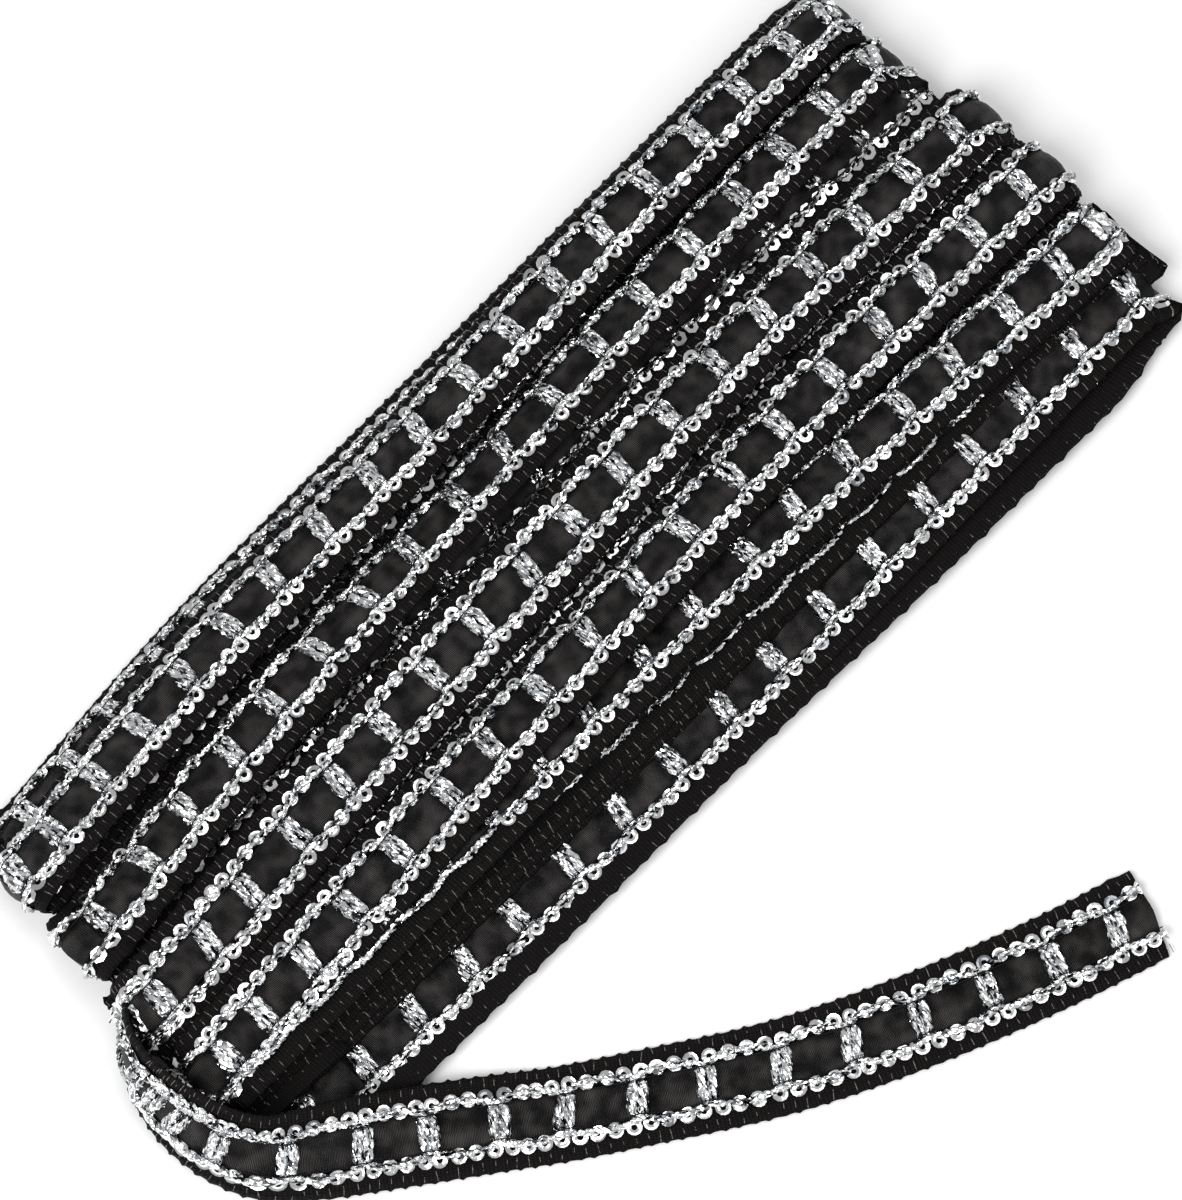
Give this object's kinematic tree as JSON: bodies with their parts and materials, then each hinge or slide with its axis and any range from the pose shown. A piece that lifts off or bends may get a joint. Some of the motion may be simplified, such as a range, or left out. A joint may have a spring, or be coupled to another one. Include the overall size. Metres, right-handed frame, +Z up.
{
  "type": "sequin trim hank",
  "caption": "Black woven trim with a satin ribbon under silver bars and sequin edges, wound into a flat hank with one loose end.",
  "frame": {"origin": "on the surface that the hank lies on, under the middle of the hank", "axes": "+X along the runs of the hank, away from the end that the loose end leaves; +Y across the hank, away from the side that the loose end lies on; +Z up"},
  "size_m": [0.316, 0.2264, 0.0225],
  "materials": {
    "braid": "matt black spun polyester braid",
    "ribbon": "black satin-woven polyester ribbon",
    "silver_yarn": "twisted silver metallised film yarn",
    "sequin": "silver metallised film, satin bright"
  },
  "bodies": {
    "root": {"hank": "braid", "loose_end_braid": "braid", "loose_end_ribbon": "ribbon"}
  },
  "joints": []
}
